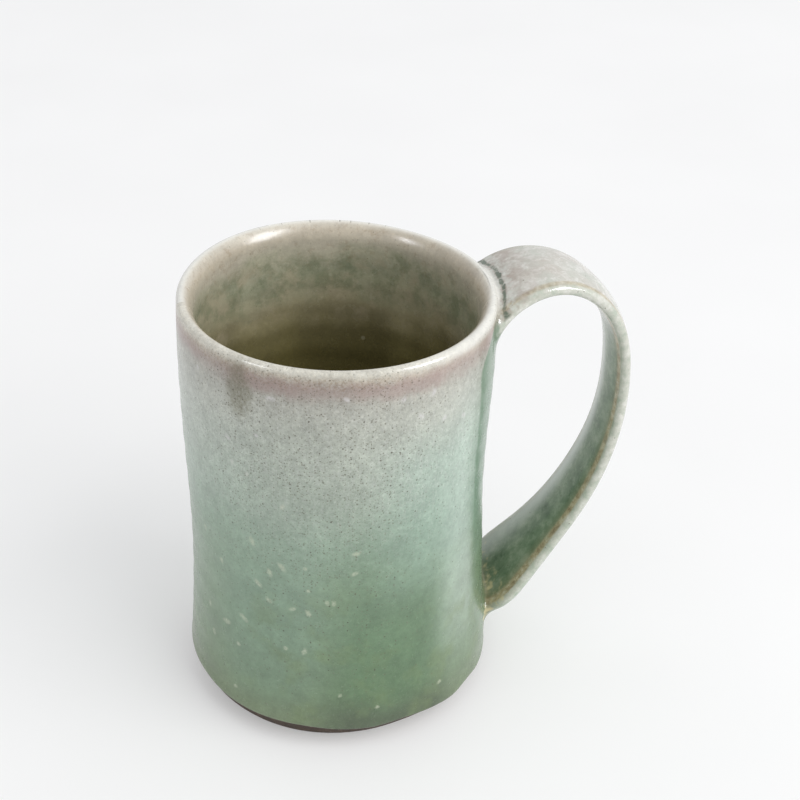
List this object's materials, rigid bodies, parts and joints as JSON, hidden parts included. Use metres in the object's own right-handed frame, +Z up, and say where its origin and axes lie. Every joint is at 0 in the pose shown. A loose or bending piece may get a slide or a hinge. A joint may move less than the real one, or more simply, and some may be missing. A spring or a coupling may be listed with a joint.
{
  "type": "ceramic mug",
  "caption": "Tall waisted stoneware mug with a rounded lip, a trimmed foot ring and a wide pulled strap handle that rises just above the rim, glazed inside and out.",
  "frame": {"origin": "centre of the foot ring on the table, on the cup's own axis", "axes": "+Z up along the cup's axis towards the mouth, +X from the axis towards the handle, +Y to complete a right-handed frame"},
  "size_m": [0.1222, 0.084, 0.1225],
  "materials": {
    "bare_stoneware": "matte",
    "handle_clay": "matte",
    "join_clay": "matte",
    "liner_glaze": "gloss",
    "outside_glaze": "gloss",
    "handle_glaze": "gloss"
  },
  "bodies": {
    "root": {"thrown_cup": "bare_stoneware", "pulled_handle": "handle_clay", "upper_join_clay": "join_clay", "lower_join_clay": "join_clay", "liner_glaze": "liner_glaze", "outside_glaze": "outside_glaze", "handle_glaze": "handle_glaze"}
  },
  "joints": []
}
